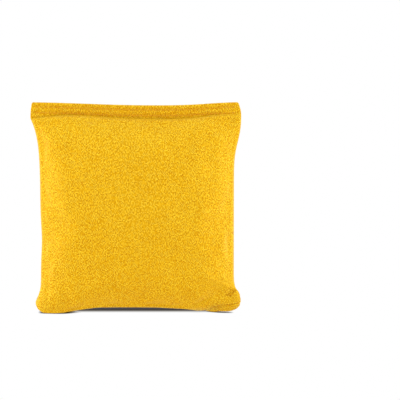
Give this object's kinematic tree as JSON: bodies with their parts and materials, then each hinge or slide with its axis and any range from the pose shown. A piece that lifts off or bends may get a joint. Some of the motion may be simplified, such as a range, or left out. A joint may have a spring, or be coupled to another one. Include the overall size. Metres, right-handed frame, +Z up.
{
  "type": "toss bean bag",
  "caption": "Square canvas toss bag filled with dried corn, sewn at the sides and bottom, closed by a topstitched hem, standing with its lower right corner bent forward.",
  "frame": {"origin": "on the floor, under the middle of the bag", "axes": "+X across the bag, +Y from the front panel to the back panel, +Z up from the floor to the hem"},
  "size_m": [0.1522, 0.047, 0.1544],
  "materials": {
    "canvas": "plain-woven duck canvas, matt",
    "thread": "twisted polyester sewing thread",
    "corn": "dried feed corn"
  },
  "bodies": {
    "root": {"front_panel": "canvas", "back_panel": "canvas", "corn_fill": "corn", "hem_upper_needle_thread": "thread", "hem_upper_bobbin_thread": "thread", "hem_lower_needle_thread": "thread", "hem_lower_bobbin_thread": "thread", "seam_crease_thread": "thread", "left_seam_needle_thread": "thread", "left_seam_bobbin_thread": "thread", "bottom_seam_needle_thread": "thread", "bottom_seam_bobbin_thread": "thread", "right_seam_needle_thread": "thread", "right_seam_bobbin_thread": "thread"}
  },
  "joints": []
}
